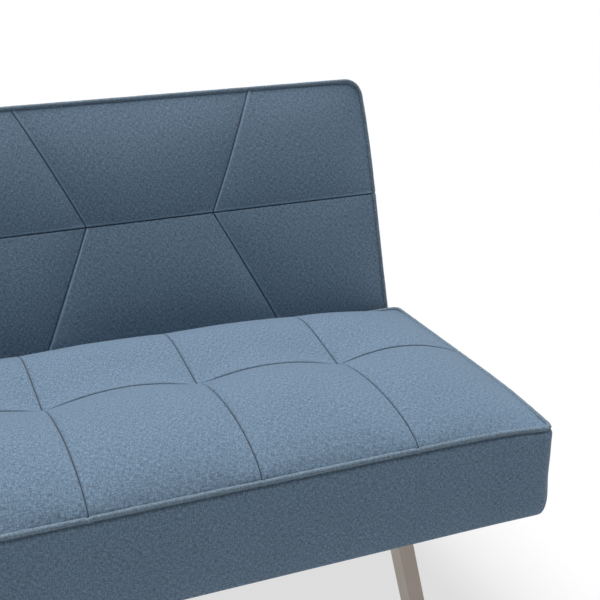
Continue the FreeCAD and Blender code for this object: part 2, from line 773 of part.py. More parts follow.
arm_bolts = []
arm_nuts = []
for p in arm_bolt_places():
    seat_point = V(arm_outer, p.y, p.z)
    far = hinge_stile_x[0] - arm_bolt_head_height
    length = arm_outer - far + 1
    arm_bolts.append(
        bolt_solid(seat_point, AXIS_X * -1, arm_bolt, length, arm_bolt_head, arm_bolt_head_height)
    )
    nut = hexagon_head(V(hinge_stile_x[0], p.y, p.z), AXIS_X * -1, arm_bolt_head, arm_bolt_head_height)
    arm_nuts.append(nut.cut(disc_x(p, arm_bolt / 2, (far - 1, arm_outer))))
add("hinge_arm_bolts", raised(both_sides(arm_bolts)))
add("hinge_arm_nuts", raised(both_sides(arm_nuts)))

# Rails and stiles are let in for the webbing, which lies flush with their front
for name in ("back_top_rail", "back_bottom_rail", "back_hinge_stiles"):
    pieces = nodes[name]
    for band in raised(strap_all):
        pieces = [piece.cut(band) for piece in pieces]
    add(name, pieces)
add("back_webbing", raised(strap_all))

back_ties = []
back_anchors = []
tuft_y = back_bottom + back_tuft_s
for middle in (-back_figure_x, back_figure_x):
    for offset in (-back_tuft_spread, back_tuft_spread):
        x = middle + offset
        start = wood_z[1]
        back_ties.append(rod(V(x, tuft_y, start), AXIS_Z, tie / 2, seat_top - tuft_sink - start))
        disc = rod(V(x, tuft_y, start - anchor_plate), AXIS_Z, anchor / 2, anchor_plate)
        back_anchors.append(disc)
add("back_tuft_ties", raised(back_ties))
add("back_tuft_anchors", raised(back_anchors))

# ------------------------------------------------------------------ origin and export

whole = Part.makeCompound([s for solids in nodes.values() for s in solids])
extent = whole.optimalBoundingBox(False, False)
to_origin = V(-(extent.XMin + extent.XMax) / 2, -(extent.YMin + extent.YMax) / 2, -extent.ZMin)
os.makedirs("parts", exist_ok=True)
for name, solids in nodes.items():
    piece = Part.makeCompound(solids)
    piece.translate(to_origin)
    piece.exportStep("parts/" + name + ".step")
print(len(nodes), "nodes; box", extent.XLength, extent.YLength, extent.ZLength)
print("back pivot", PIVOT + to_origin, "pawl pivot", pawl_pivot + to_origin, "hinge x", rail_x)
print("front leg foot", leg_middle(0), leg_setback + to_origin.y, "rear", frame_end + to_origin.y)
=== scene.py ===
"""Armless click-clack sofa bed: upholstery, materials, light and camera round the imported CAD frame.

Everything is in metres in the frame's own axes: X across the sofa, Y towards its back, Z up. Each cushion is
drawn lying flat with its quilted face upwards, and the back is then swung up about its hinge.
"""
import json
import math

import bmesh
import bpy
import numpy as np
from mathutils import Matrix, Vector


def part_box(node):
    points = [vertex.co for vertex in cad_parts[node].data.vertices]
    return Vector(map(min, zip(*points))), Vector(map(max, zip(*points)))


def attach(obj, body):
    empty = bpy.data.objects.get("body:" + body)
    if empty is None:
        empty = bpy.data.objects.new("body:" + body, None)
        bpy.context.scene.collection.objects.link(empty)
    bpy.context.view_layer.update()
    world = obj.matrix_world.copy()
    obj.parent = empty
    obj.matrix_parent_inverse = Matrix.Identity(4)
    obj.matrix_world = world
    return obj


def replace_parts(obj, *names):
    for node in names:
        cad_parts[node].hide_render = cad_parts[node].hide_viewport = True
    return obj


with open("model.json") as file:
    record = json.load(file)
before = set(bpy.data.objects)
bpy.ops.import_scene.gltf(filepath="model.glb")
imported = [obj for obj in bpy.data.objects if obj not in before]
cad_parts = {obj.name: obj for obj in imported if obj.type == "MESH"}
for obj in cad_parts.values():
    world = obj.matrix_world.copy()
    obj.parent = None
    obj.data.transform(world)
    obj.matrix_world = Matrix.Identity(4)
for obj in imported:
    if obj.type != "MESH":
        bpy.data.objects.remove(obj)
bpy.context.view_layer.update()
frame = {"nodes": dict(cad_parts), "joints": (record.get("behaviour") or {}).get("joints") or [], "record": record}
scene = bpy.context.scene

# ------------------------------------------------------------------ sizes

RECLINE = next(j for j in frame["joints"] if j["name"] == "recline")
PIVOT = Vector(RECLINE["pos_m"])
SEAT_LOW, SEAT_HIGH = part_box("seat_piping")
BACK_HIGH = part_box("back_piping")[1]
COVER_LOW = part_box("seat_cover")[0]

PIPING = SEAT_HIGH.z - SEAT_LOW.z           # diameter
CORD_RADIUS = 0.44 * PIPING                 # drawn in a little where the thread pulls it
CORD_STEP = 0.007                           # from one ring of a cord to the next
SEAT_PLANE = (SEAT_LOW.z + SEAT_HIGH.z) / 2
SEAT_HALF = SEAT_HIGH.x
SEAT_FRONT = SEAT_LOW.y
SEAT_REAR = SEAT_HIGH.y
SEAT_THICK = SEAT_PLANE - COVER_LOW.z
CELL = 0.244                                # seat seams, from one to the next
SEAT_ROW = SEAT_FRONT + 0.280               # seat's long seam
REAR_CUT = 0.022                            # seat's rear face leans in below its top edge
REAR_CUT_HEIGHT = 0.064
SEAT_CORNER = 0.010                         # radius
SEAT_BORDER_INSET = 0.0004                  # the seat's border swells nearly as far out as its piping
SEAT_HEM_LIFT = 0.0012                      # underside above the hem
CORNER_DIP = 0.0085                         # seat's front corners are pulled down
CORNER_DIP_REACH = 0.075
FRONT_SAG = 0.0058                          # so is its whole front edge
FRONT_SAG_REACH = 0.050
CORNER_BULGE = 0.0050                       # below them the border swells out past the piping
CORNER_BULGE_REACH = 0.070

BACK_HALF = BACK_HIGH.x
BACK_LEAN = math.radians(19)
BACK_BOTTOM = SEAT_REAR + 0.012             # lying flat
BACK_LENGTH = 0.494
BACK_THICK = 0.120
BACK_ROW = BACK_BOTTOM + 0.276              # back's long seam
FIGURE = 0.388                              # middle of the back to the middle of each quilted figure
FIGURE_WAIST = 0.114                        # half width of a figure at the long seam
FIGURE_SPREAD = 0.467                       # its half width grows this much for each unit from that seam
BACK_BORDER_INSET = 0.0020                  # border's face inside the piping's outermost line
BACK_LOW_CORNER = 0.020                     # radius
BACK_CORNER = 0.027
BACK_BOW = 0.0048                           # back's ends bow outwards
BACK_TUCK = 0.050                           # back's face lies flatter over this length, clear of the seat
SLOT_X = (0.594, 0.621)                     # slots for the hinge brackets
SLOT_DEPTH = (0.0095, 0.098)
SLOT_REACH = 0.030                          # past the hinge
SLOT_OVERRUN = 0.020                        # past the back's lower edge
REAR_INSET = 0.011                          # rear cover's edge inside the piping's outermost line
REAR_THICK = 0.0008
REAR_WAVE = 0.0005
STITCH_INSET = 0.016

DUST_INSET = 0.001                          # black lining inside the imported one's edge
DUST_LIFT = 0.0002
DUST_THICK = 0.0005
DUST_SLACK = 0.0022
DUST_WAVE = 0.0016

STEP = 0.0105                               # grid between seams
SEAM_STEPS = (0.0010, 0.0012, 0.0023, 0.0045, 0.0060)
SEAM_PLACES = (0.0, 0.0010, 0.0022, 0.0045, 0.0090)
SEAM_PROFILE = (-0.0034, -0.0008, 0.0005, 0.0002, 0.0)
SEAM_HELD = 0.0025                          # cloth this near a seam doesn't move in the simulation
SEAT_SEAM_SHADE_FADE = 0.004                      # how fast the painted shade along a seam fades
SEAT_FOLD_SHADE_FADE = 0.012                      # the same behind the seat's long seam, where the painted shade reaches further
BACK_SEAM_SHADE_FADE = 0.0026
RIDGE_PLACES = (0.0010, 0.0022, 0.0045)     # turned edge of cloth beside a seam: start, top and end
RIDGE_HEIGHT = 0.0008
PUCKER_LENGTHS = (0.013, 0.019, 0.029, 0.047)
PUCKER_REACH = 0.010
SEAT_PUCKER = 0.0004
BACK_PUCKER = 0.0003
FOLD_LENGTHS = (0.11, 0.17, 0.26, 0.41)

UNDER_PIPING = ((0.0042, 0.05), (0.0062, 0.30), (0.0085, 0.72), (0.0125, 1.0))  # depth, share of the way out
HEM = ((0.013, 0.12), (0.006, 0.38), (0.0018, 0.75), (0.0, 1.0))  # height above it, share of the way in
BORDER_TOP = 0.024                          # first and last of the border's plain rows
BORDER_END = 0.026
BORDER_HELD = (0.012, 0.020)                # the border is free to move between these two margins

CLOTH_FRAMES = 20
CLOTH_PRESSURE = 4.0
SMOOTH_ROUNDS = 3


# ------------------------------------------------------------------ quilted panels

def lerp(a, b, t):
    return a + (b - a) * t


def arch(t, skew=1.0, power=0.8):
    """Rise and fall of a seam between two knots. A low power makes its ends steep."""
    return np.sin(np.pi * np.clip(t, 0, 1) ** skew) ** power


def dome(t):
    return 1 - np.abs(2 * t - 1) ** 2.6


def shares(width):
    """Places along a cell from 0 to 1: close together beside its seams."""
    near = np.cumsum(SEAM_STEPS)
    count = max(2, round((width - 2 * near[-1]) / STEP))
    middle = np.linspace(near[-1], width - near[-1], count + 1)[1:-1]
    return np.concatenate([[0], near, middle, width - near[::-1]]) / width


class Panel:
    """Grid over a quilted face. Its column seams are functions of y and its row seams are constants."""

    def __init__(self, columns, rows):
        self.columns, self.rows = columns, rows
        middle = (rows[0] + rows[-1]) / 2
        across = [shares(right(middle) - left(middle)) for left, right in zip(columns, columns[1:])]
        along = [shares(high - low) for low, high in zip(rows, rows[1:])]
        self.cell_x, a = self.joined(across)
        self.cell_y, b = self.joined(along)
        low = np.array(rows)[self.cell_y]
        high = np.array(rows)[self.cell_y + 1]
        y = lerp(low, high, b)
        lines = np.array([[line(v) for v in y] for line in columns])
        self.a, self.b = np.meshgrid(a, b, indexing="ij")
        self.x = lerp(lines[self.cell_x], lines[self.cell_x + 1], self.a)
        self.y = np.broadcast_to(y, self.x.shape).copy()
        self.seam_distance = self.distance(lines)
        self.seam_side = self.beyond(lines)

    @staticmethod
    def joined(parts):
        cells = [i for i, part in enumerate(parts) for _ in part] + [len(parts) - 1]
        places = [v for part in parts for v in part] + [1.0]
        return np.array(cells), np.array(places)

    def distance(self, lines):
        """From each point to the nearest column seam and to the nearest row seam."""
        inner = lines[1:-1]
        column = np.min(np.abs(self.x[None] - inner[:, None, :]), axis=0)
        row = np.min([np.abs(self.y - r) for r in self.rows[1:-1]], axis=0)
        return column, row

    def beyond(self, lines):
        """Distance past the nearest seam on its right-hand or rear side, and large elsewhere."""
        gaps = [self.x - line for line in lines[1:-1]] + [self.y - r for r in self.rows[1:-1]]
        return np.min([np.where(gap < 0, 1.0, gap) for gap in gaps], axis=0)

    def height(self, knot, column_rise, row_rise, swell, skew, power):
        """Heights over the piping: seams that arch between knots, and a swelling cell between them."""
        nx, ny = len(self.columns), len(self.rows)
        knots = np.zeros((nx, ny))
        knots[1:-1, 1:-1] = knot
        i = self.cell_x[:, None] + 0 * self.cell_y[None]
        j = self.cell_y[None] + 0 * self.cell_x[:, None]
        a, b = self.a, self.b
        rise = np.zeros((nx, ny - 1))
        rise[1:-1] = column_rise
        sweep = np.zeros((ny, nx - 1))
        sweep[1:-1] = row_rise
        swells = np.zeros((ny - 1, nx - 1)) + swell
        calm = dome(a) * np.where(j == 0, b, 1 - b)     # in mid-cell the fall to the long seam is gentler
        bend = arch(b, np.array(skew)[j], power + 0.7 * calm) * (1 - 0.25 * calm)
        left = lerp(knots[i, j], knots[i, j + 1], b) + rise[i, j] * bend
        right = lerp(knots[i + 1, j], knots[i + 1, j + 1], b) + rise[i + 1, j] * bend
        low = lerp(knots[i, j], knots[i + 1, j], a) + sweep[j, i] * arch(a)
        high = lerp(knots[i, j + 1], knots[i + 1, j + 1], a) + sweep[j + 1, i] * arch(a)
        flat = lerp(lerp(knots[i, j], knots[i + 1, j], a), lerp(knots[i, j + 1], knots[i + 1, j + 1], a), b)
        coons = lerp(left, right, a) + lerp(low, high, b) - flat
        return coons + swells[j, i] * dome(a) * dome(b)


def groove(distance):
    return np.interp(distance, SEAM_PLACES, SEAM_PROFILE)


def turned_edge(beyond):
    """Share of the seam allowance's ridge at a distance past the seam."""
    return np.interp(beyond, RIDGE_PLACES, (0.0, 1.0, 0.0))


def ripple(along, distance, size, reach, seed):
    """Small puckers that a seam gathers in the cloth beside it."""
    waves = np.random.default_rng(seed)
    total = np.zeros_like(along)
    for length in PUCKER_LENGTHS:
        total += np.sin(2 * np.pi * along / length + waves.uniform(0, 6.28)) * waves.uniform(0.5, 1)
    fade = np.exp(-distance / reach) * np.clip(distance / 0.003, 0, 1)
    return total * size / 2.5 * fade


# ------------------------------------------------------------------ cushion meshes

def grid_quads(index):
    """Corner numbers of each face of a grid."""
    return np.stack([index[:-1, :-1], index[1:, :-1], index[1:, 1:], index[:-1, 1:]], axis=-1).reshape(-1, 4)


def grid_rim(index):
    """Numbers of the points round a grid's edge, in order."""
    return np.concatenate([index[:-1, 0], index[-1, :-1], index[:0:-1, -1], index[0, :0:-1]])


class Cushion:
    """Closed form: quilted face, border all round it, and a flat underside."""

    def __init__(self, panel, heights, plane, corners, border, cut=None):
        self.panel = panel
        nx, ny = panel.x.shape
        self.half = panel.x.max()
        self.front, self.rear = panel.y.min(), panel.y.max()
        x, y = self.rounded(panel.x, panel.y, corners)
        face = np.stack([x, y, plane + heights], axis=-1).reshape(-1, 3)
        index = np.arange(nx * ny).reshape(nx, ny)
        self.rim = grid_rim(index)
        self.index = index
        rim = face[self.rim]
        self.outward = self.normals(rim[:, :2])
        step = np.linalg.norm(np.roll(rim, -1, axis=0) - rim, axis=1)
        self.around = np.concatenate([[0], np.cumsum(step)])
        self.depths = [0.0] + [depth for depth, _ in border]
        loops = [self.rim]
        points = [face]
        count = len(self.rim)
        for depth, out in border:
            place = rim.copy()
            place[:, :2] += self.outward * out
            if cut:
                place[:, 1] -= cut(depth) * np.clip(self.outward[:, 1], 0, 1)
            place[:, 2] = plane - depth
            loops.append(np.arange(count) + sum(len(p) for p in points))
            points.append(place)
        self.loops = loops
        self.points = np.concatenate(points)
        self.face_count = nx * ny

    def rounded(self, x, y, corners):
        """Pulls the square corners of the grid in to round ones."""
        x, y = x.copy(), y.copy()
        for side in (-1, 1):
            for edge, inward, radius in ((self.front, 1, corners[0]), (self.rear, -1, corners[1])):
                dx = side * x - (self.half - radius)
                dy = (edge + inward * radius - y) * inward
                inside = (dx > 0) & (dy > 0)
                length = np.hypot(dx, dy)
                scale = np.where(inside, np.maximum(dx, dy) / np.maximum(length, 1e-9), 1)
                x = np.where(inside, side * (self.half - radius + dx * scale), x)
                y = np.where(inside, edge + inward * (radius - dy * scale), y)
        return x, y

    @staticmethod
    def normals(rim):
        along = np.roll(rim, -1, axis=0) - np.roll(rim, 1, axis=0)
        out = np.stack([along[:, 1], -along[:, 0]], axis=-1)
        return out / np.linalg.norm(out, axis=1)[:, None]

    def faces(self):
        """Faces with the cloth's own coordinates for each corner, in metres."""
        index = self.index
        quads, cloth = [], []
        flat = np.stack([self.panel.x, self.panel.y], axis=-1).reshape(-1, 2)
        for quad in grid_quads(index):
            quads.append(quad.tolist())
            cloth.append(flat[quad])
        count = len(self.rim)
        for upper, lower, high, low in zip(self.loops, self.loops[1:], self.depths, self.depths[1:]):
            for i in range(count):
                n = (i + 1) % count
                quads.append([int(upper[i]), int(lower[i]), int(lower[n]), int(upper[n])])
                start, end = self.around[i], self.around[i + 1]
                cloth.append(np.array([[start, -high], [start, -low], [end, -low], [end, -high]]))
        return quads, cloth

    def painted_seam_shade(self, fade, fold):
        """1 on a seam, fading away from it, for the material's painted shade along each seam. fold is the fade
        behind the long seam.
        """
        column, row = self.panel.seam_distance
        behind = self.panel.y > self.panel.rows[1]
        near = np.maximum(np.exp(-column / fade), np.exp(-row / np.where(behind, fold, fade)))
        values = np.zeros(len(self.points))
        values[: self.face_count] = near.reshape(-1)
        return values

    def ridge(self):
        """1 on the turned edge of cloth that lies beside each seam, where the material paints a highlight."""
        values = np.zeros(len(self.points))
        values[: self.face_count] = turned_edge(self.panel.seam_side).reshape(-1)
        return values

    def held(self, thick):
        """Points that the simulation can't move: seams, the piping's line and the border's margins."""
        column, row = self.panel.seam_distance
        hold = (np.minimum(column, row) < SEAM_HELD).reshape(-1)
        mask = np.ones(len(self.points), bool)
        mask[: self.face_count] = hold
        mask[self.rim] = True
        for loop, depth in zip(self.loops[1:], self.depths[1:]):
            if BORDER_HELD[0] < depth < thick - BORDER_HELD[1]:
                mask[loop] = self.outward[:, 1] > 0.3
        return mask


def mesh_object(name, points, faces, cloth=None):
    mesh = bpy.data.meshes.new(name)
    mesh.from_pydata([tuple(p) for p in points], [], faces)
    if cloth is not None:
        layer = mesh.uv_layers.new(name="cloth")
        layer.data.foreach_set("uv", np.concatenate(cloth).astype(np.float32).ravel())
    mesh.shade_smooth()
    mesh.update()
    obj = bpy.data.objects.new(name, mesh)
    scene.collection.objects.link(obj)
    return obj


def point_attribute(obj, name, values):
    attribute = obj.data.attributes.new(name, "FLOAT", "POINT")
    attribute.data.foreach_set("value", np.asarray(values, np.float32))


def coordinates(mesh):
    values = np.zeros(len(mesh.vertices) * 3, np.float32)
    mesh.vertices.foreach_get("co", values)
    return values.reshape(-1, 3).astype(float)


def set_coordinates(mesh, values):
    mesh.vertices.foreach_set("co", values.astype(np.float32).ravel())
    mesh.update()


def applied(obj):
    """Keeps what the modifiers make of the mesh, and removes them."""
    graph = bpy.context.evaluated_depsgraph_get()
    mesh = bpy.data.meshes.new_from_object(obj.evaluated_get(graph))
    obj.modifiers.clear()
    obj.data = mesh
    return obj


def settled(obj, held, most, growth):
    """Cloth under the foam's push, with its seams held. Moves are limited and smoothed along the mesh."""
    start = coordinates(obj.data)
    group = obj.vertex_groups.new(name="held")
    group.add(np.flatnonzero(held).tolist(), 1.0, "REPLACE")
    cloth = obj.modifiers.new("cloth", "CLOTH")
    settings = cloth.settings
    settings.vertex_group_mass = "held"
    settings.quality = 6
    settings.mass = 0.3
    settings.air_damping = 3.0
    settings.tension_stiffness = 25.0
    settings.compression_stiffness = 25.0
    settings.shear_stiffness = 12.0
    settings.bending_stiffness = 1.0
    settings.use_pressure = True
    settings.uniform_pressure_force = CLOTH_PRESSURE
    settings.shrink_min = -growth
    settings.effector_weights.gravity = 0.0
    cloth.collision_settings.use_collision = False
    cloth.point_cache.frame_start = 1
    cloth.point_cache.frame_end = CLOTH_FRAMES
    for number in range(1, CLOTH_FRAMES + 1):
        scene.frame_set(number)
    graph = bpy.context.evaluated_depsgraph_get()
    move = coordinates(obj.evaluated_get(graph).data) - start
    move[~np.isfinite(move).all(axis=1)] = 0
    length = np.linalg.norm(move, axis=1)[:, None]
    move *= most * np.tanh(length / most) / np.maximum(length, 1e-9)
    edges = np.zeros(len(obj.data.edges) * 2, np.int32)
    obj.data.edges.foreach_get("vertices", edges)
    ends = edges.reshape(-1, 2)
    number = np.bincount(ends.ravel(), minlength=len(start))[:, None]
    for _ in range(SMOOTH_ROUNDS):
        total = np.zeros_like(move)
        np.add.at(total, ends[:, 0], move[ends[:, 1]])
        np.add.at(total, ends[:, 1], move[ends[:, 0]])
        move = np.where(held[:, None], 0, (move + total / number) / 2)
    obj.modifiers.clear()
    obj.vertex_groups.clear()
    scene.frame_set(1)
    set_coordinates(obj.data, start + move)
    print("settled", obj.name, "most", round(float(np.linalg.norm(move, axis=1).max()) * 1000, 1), "mm")


def subdivided(obj):
    """One level of subdivision, before the underside is closed."""
    smooth = obj.modifiers.new("smooth", "SUBSURF")
    smooth.levels = smooth.render_levels = 1
    smooth.uv_smooth = "NONE"
    return applied(obj)


def closed(obj):
    """Closes the open underside."""
    work = bmesh.new()
    work.from_mesh(obj.data)
    rim = [edge for edge in work.edges if edge.is_boundary]
    made = bmesh.ops.edgeloop_fill(work, edges=rim)
    bmesh.ops.triangulate(work, faces=made["faces"])
    bmesh.ops.recalc_face_normals(work, faces=work.faces)
    work.to_mesh(obj.data)
    work.free()
    return obj


def piping_tube(name, path, up, radius, seed):
    """Covered cord sewn round a cushion's edge: a closed tube that wavers slightly."""
    count, sides = len(path), 12
    ahead = np.roll(path, -1, axis=0) - np.roll(path, 1, axis=0)
    ahead /= np.linalg.norm(ahead, axis=1)[:, None]
    side = np.cross(ahead, up)
    side /= np.linalg.norm(side, axis=1)[:, None]
    above = np.cross(side, ahead)
    step = np.linalg.norm(np.roll(path, -1, axis=0) - path, axis=1)
    around = np.concatenate([[0], np.cumsum(step)])
    waves = np.random.default_rng(seed)
    turn = 2 * np.pi * around[:-1] / around[-1]
    girth = np.ones(count)
    for number in waves.integers(40, 260, 6):
        girth += 0.012 * np.sin(number * turn + waves.uniform(0, 6.28))
    points, faces, cloth = [], [], []
    for k in range(sides):
        angle = 2 * np.pi * k / sides
        reach = (radius * girth)[:, None]
        points.append(path + side * reach * math.cos(angle) + above * reach * math.sin(angle))
    points = np.stack(points, axis=1).reshape(-1, 3)
    round_step = 2 * np.pi * radius / sides
    for i in range(count):
        n = (i + 1) % count
        for k in range(sides):
            m = (k + 1) % sides
            faces.append([i * sides + k, i * sides + m, n * sides + m, n * sides + k])
            u, v = (around[i], around[i + 1]), (k * round_step, (k + 1) * round_step)
            cloth.append(np.array([[u[0], v[0]], [u[0], v[1]], [u[1], v[1]], [u[1], v[0]]]))
    return mesh_object(name, points, faces, cloth)


# ------------------------------------------------------------------ seat

def border_rows(thick, out, tuck, under, lift=0.0):
    """Border's (depth, outward) rows: out from under the piping, down, and turned in at the far edge."""
    rows = [(depth, out * share) for depth, share in UNDER_PIPING]
    rows += [(depth, out) for depth in np.linspace(BORDER_TOP, thick - BORDER_END, 9)]
    rows += [(thick - above, out - tuck * share) for above, share in HEM]
    rows.append((thick - lift, out - tuck - under))
    return [(float(depth), float(offset)) for depth, offset in rows]


def front_sag(x, y):
    """How far the seat's top sinks along its front edge, and more near its front corners."""
    away = np.hypot(SEAT_HALF - np.abs(x), y - SEAT_FRONT)
    dip = CORNER_DIP * np.exp(-(away / CORNER_DIP_REACH) ** 1.4)
    return dip + FRONT_SAG * np.exp(-(y - SEAT_FRONT) / FRONT_SAG_REACH)


def corner_swell(points):
    """How far the border's front corners bulge out, below the piping and above the hem."""
    away = np.hypot(SEAT_HALF - np.abs(points[:, 0]), points[:, 1] - SEAT_FRONT)
    depth = SEAT_PLANE - points[:, 2]
    down = np.clip((depth - 0.004) / 0.014, 0, 1) * np.clip((SEAT_THICK + 0.010 - depth) / 0.030, 0, 1)
    return CORNER_BULGE * np.exp(-(away / CORNER_BULGE_REACH) ** 2) * down


def seat_rear_cut(depth):
    """How far the seat's rear face has leant in at a depth below its top edge."""
    return REAR_CUT * min(depth / REAR_CUT_HEIGHT, 1.0)


def seat_cushion():
    """Seat with seven cells by two, and the line that its piping follows."""
    edge = PIPING / 2
    places = [-SEAT_HALF + edge] + [(k + 0.5) * CELL for k in range(-3, 3)] + [SEAT_HALF - edge]
    columns = [lambda y, x=x: x for x in places]
    panel = Panel(columns, [SEAT_FRONT + edge, SEAT_ROW, SEAT_REAR - edge])
    height = panel.height(
        knot=np.array([0.014, 0.022, 0.022, 0.022, 0.022, 0.014])[:, None],
        column_rise=np.array([[0.029, 0.034]] + [[0.038, 0.040]] * 4 + [[0.029, 0.034]]),
        row_rise=np.array([0.024] + [0.021] * 5 + [0.024])[None, :],
        swell=np.array([[0.006] + [0.002] * 5 + [0.006], [0.006] + [0.001] * 5 + [0.006]]),
        skew=(0.88, 1.9),
        power=0.55,
    )
    column, row = panel.seam_distance
    height += groove(column) + groove(row)
    height += ripple(panel.y, column, SEAT_PUCKER, PUCKER_REACH, 3)
    height += ripple(panel.x, row, SEAT_PUCKER, PUCKER_REACH, 4)
    out = edge - SEAT_BORDER_INSET
    rows = border_rows(SEAT_THICK - 0.0001, out, tuck=0.0036, under=0.010, lift=SEAT_HEM_LIFT)
    cushion = Cushion(panel, height, SEAT_PLANE, (SEAT_CORNER, SEAT_CORNER), rows, seat_rear_cut)
    points = cushion.points
    share = np.clip(1 - (SEAT_PLANE - points[:, 2]) / (0.6 * SEAT_THICK), 0, 1)
    points[:, 2] -= front_sag(points[:, 0], points[:, 1]) * share
    bulge = corner_swell(points)
    points[:, 0] += np.sign(points[:, 0]) * bulge
    points[:, 1] -= bulge
    faces, cloth = cushion.faces()
    obj = mesh_object("seat_cushion", points, faces, cloth)
    # mask for the painted shade along the seams
    point_attribute(obj, "seam", cushion.painted_seam_shade(SEAT_SEAM_SHADE_FADE, SEAT_FOLD_SHADE_FADE))
    held = cushion.held(SEAT_THICK)
    settled(obj, held, most=0.0055, growth=0.005)
    return closed(subdivided(obj)), points[cushion.rim]


def back_cushion():
    """Back, lying flat, with two quilted figures, and the line that its piping follows."""
    edge = PIPING / 2
    half = BACK_HALF - edge

    def slant(middle, side):
        return lambda y: middle + side * (FIGURE_WAIST + FIGURE_SPREAD * abs(y - BACK_ROW))

    columns = [lambda y: -half]
    for middle in (-FIGURE, FIGURE):
        columns += [slant(middle, -1), slant(middle, 1)]
    columns.append(lambda y: half)
    panel = Panel(columns, [BACK_BOTTOM + edge, BACK_ROW, BACK_BOTTOM + BACK_LENGTH - edge])
    height = panel.height(
        knot=0.008,
        column_rise=np.array([0.006, 0.009])[None, :],
        row_rise=np.array([0.009, 0.006, 0.010, 0.006, 0.009])[None, :],
        swell=np.array([[0.005], [0.006]]),
        skew=(0.8, 1.1),
        power=0.8,
    )
    column, row = panel.seam_distance
    height += groove(column) + groove(row) + RIDGE_HEIGHT * turned_edge(panel.seam_side)
    height *= 1 - 0.75 * np.exp(-((panel.y - BACK_BOTTOM) / BACK_TUCK) ** 2)
    height += ripple(panel.y, column, BACK_PUCKER, PUCKER_REACH, 5)
    height += ripple(panel.x, row, BACK_PUCKER, PUCKER_REACH, 6)
    out = edge - BACK_BORDER_INSET
    rows = border_rows(BACK_THICK - 0.0008, out, tuck=0.006, under=0.006)
    cushion = Cushion(panel, height, SEAT_PLANE, (BACK_LOW_CORNER, BACK_CORNER), rows)
    points = cushion.points
    share = np.clip((points[:, 1] - BACK_BOTTOM) / BACK_LENGTH, 0, 1)
    ends = np.sign(points[:, 0]) * (np.abs(points[:, 0]) / half) ** 6
    points[:, 0] += ends * BACK_BOW * np.sin(np.pi * share ** 2)
    faces, cloth = cushion.faces()
    obj = mesh_object("back_cushion", points, faces, cloth)
    # mask for the painted shade along the seams
    point_attribute(obj, "seam", cushion.painted_seam_shade(BACK_SEAM_SHADE_FADE, BACK_SEAM_SHADE_FADE))
    # mask for the painted highlight on the turned edges
    point_attribute(obj, "ridge", cushion.ridge())
    held = cushion.held(BACK_THICK) | (points[:, 1] < BACK_BOTTOM + BACK_TUCK)
    settled(obj, held, most=0.004, growth=0.003)
    return slotted(closed(subdivided(obj))), points[cushion.rim]


def slotted(obj):
    """Cuts the slots in the back's lower edge, still lying flat, that the hinge brackets move in."""
    low = (SLOT_X[0], BACK_BOTTOM - SLOT_OVERRUN, SEAT_PLANE - SLOT_DEPTH[1])
    high = (SLOT_X[1], PIVOT.y + SLOT_REACH, SEAT_PLANE - SLOT_DEPTH[0])
    faces = [(0, 1, 3, 2), (4, 6, 7, 5), (0, 4, 5, 1), (2, 3, 7, 6), (0, 2, 6, 4), (1, 5, 7, 3)]
    for side in (-1, 1):
        ends = [sorted((side * low[0], side * high[0])), (low[1], high[1]), (low[2], high[2])]
        corners = [(x, y, z) for x in ends[0] for y in ends[1] for z in ends[2]]
        block = mesh_object("slot", corners, faces)
        cut = obj.modifiers.new("slot", "BOOLEAN")
        cut.operation = "DIFFERENCE"
        cut.solver = "EXACT"
        cut.object = block
        applied(obj)
        bpy.data.objects.remove(block)
    print("slotted", obj.name, len(obj.data.polygons), "faces")
    return obj


def thin_sheet(name, x, y, z, thickness, shape, step=0.016):
    """Closed thin sheet between two values of x and of y. shape gives its rise at each point."""
    xs = np.linspace(x[0], x[1], int((x[1] - x[0]) / step) + 1)
    ys = np.linspace(y[0], y[1], int((y[1] - y[0]) / step) + 1)
    gx, gy = np.meshgrid(xs, ys, indexing="ij")
    rise = shape(gx, gy)
    index = np.arange(gx.size).reshape(gx.shape)
    low = np.stack([gx, gy, z + rise], axis=-1).reshape(-1, 3)
    high = low + np.array([0, 0, thickness])
    square = grid_quads(index)
    rim = grid_rim(index)
    following = np.roll(rim, -1)
    above = gx.size
    edge = np.stack([rim, following, following + above, rim + above], axis=-1)
    faces = np.concatenate([square + above, square[:, ::-1], edge])
    points = np.concatenate([low, high])
    cloth = [points[face][:, :2] for face in faces[: 2 * len(square)]]
    for k in range(len(rim)):
        along = k * step
        cloth.append(np.array([[along, 0], [along + step, 0], [along + step, thickness], [along, thickness]]))
    return mesh_object(name, points, faces.tolist(), cloth)


def waves(x, y, size, seed):
    """Soft uneven folds."""
    draw = np.random.default_rng(seed)
    total = np.zeros_like(x)
    for length in FOLD_LENGTHS:
        angle = draw.uniform(0, np.pi)
        along = x * np.cos(angle) + y * np.sin(angle)
        total += np.sin(2 * np.pi * along / length + draw.uniform(0, 6.28))
    return total * size / 4


def rear_cover():
    """Panel that closes the back's rear, sewn over the turned edge of its border."""
    half = BACK_HALF - REAR_INSET
    low, high = BACK_BOTTOM + REAR_INSET, BACK_BOTTOM + BACK_LENGTH - REAR_INSET

    def shape(x, y):
        edge = np.minimum(half - np.abs(x), np.minimum(y - low, high - y))
        fade = 1 - np.exp(-edge / 0.05)
        return fade * waves(x, y, REAR_WAVE, 21)

    base = SEAT_PLANE - BACK_THICK
    obj = thin_sheet("back_rear_cover", (-half, half), (low, high), base, REAR_THICK, shape)
    return obj, base


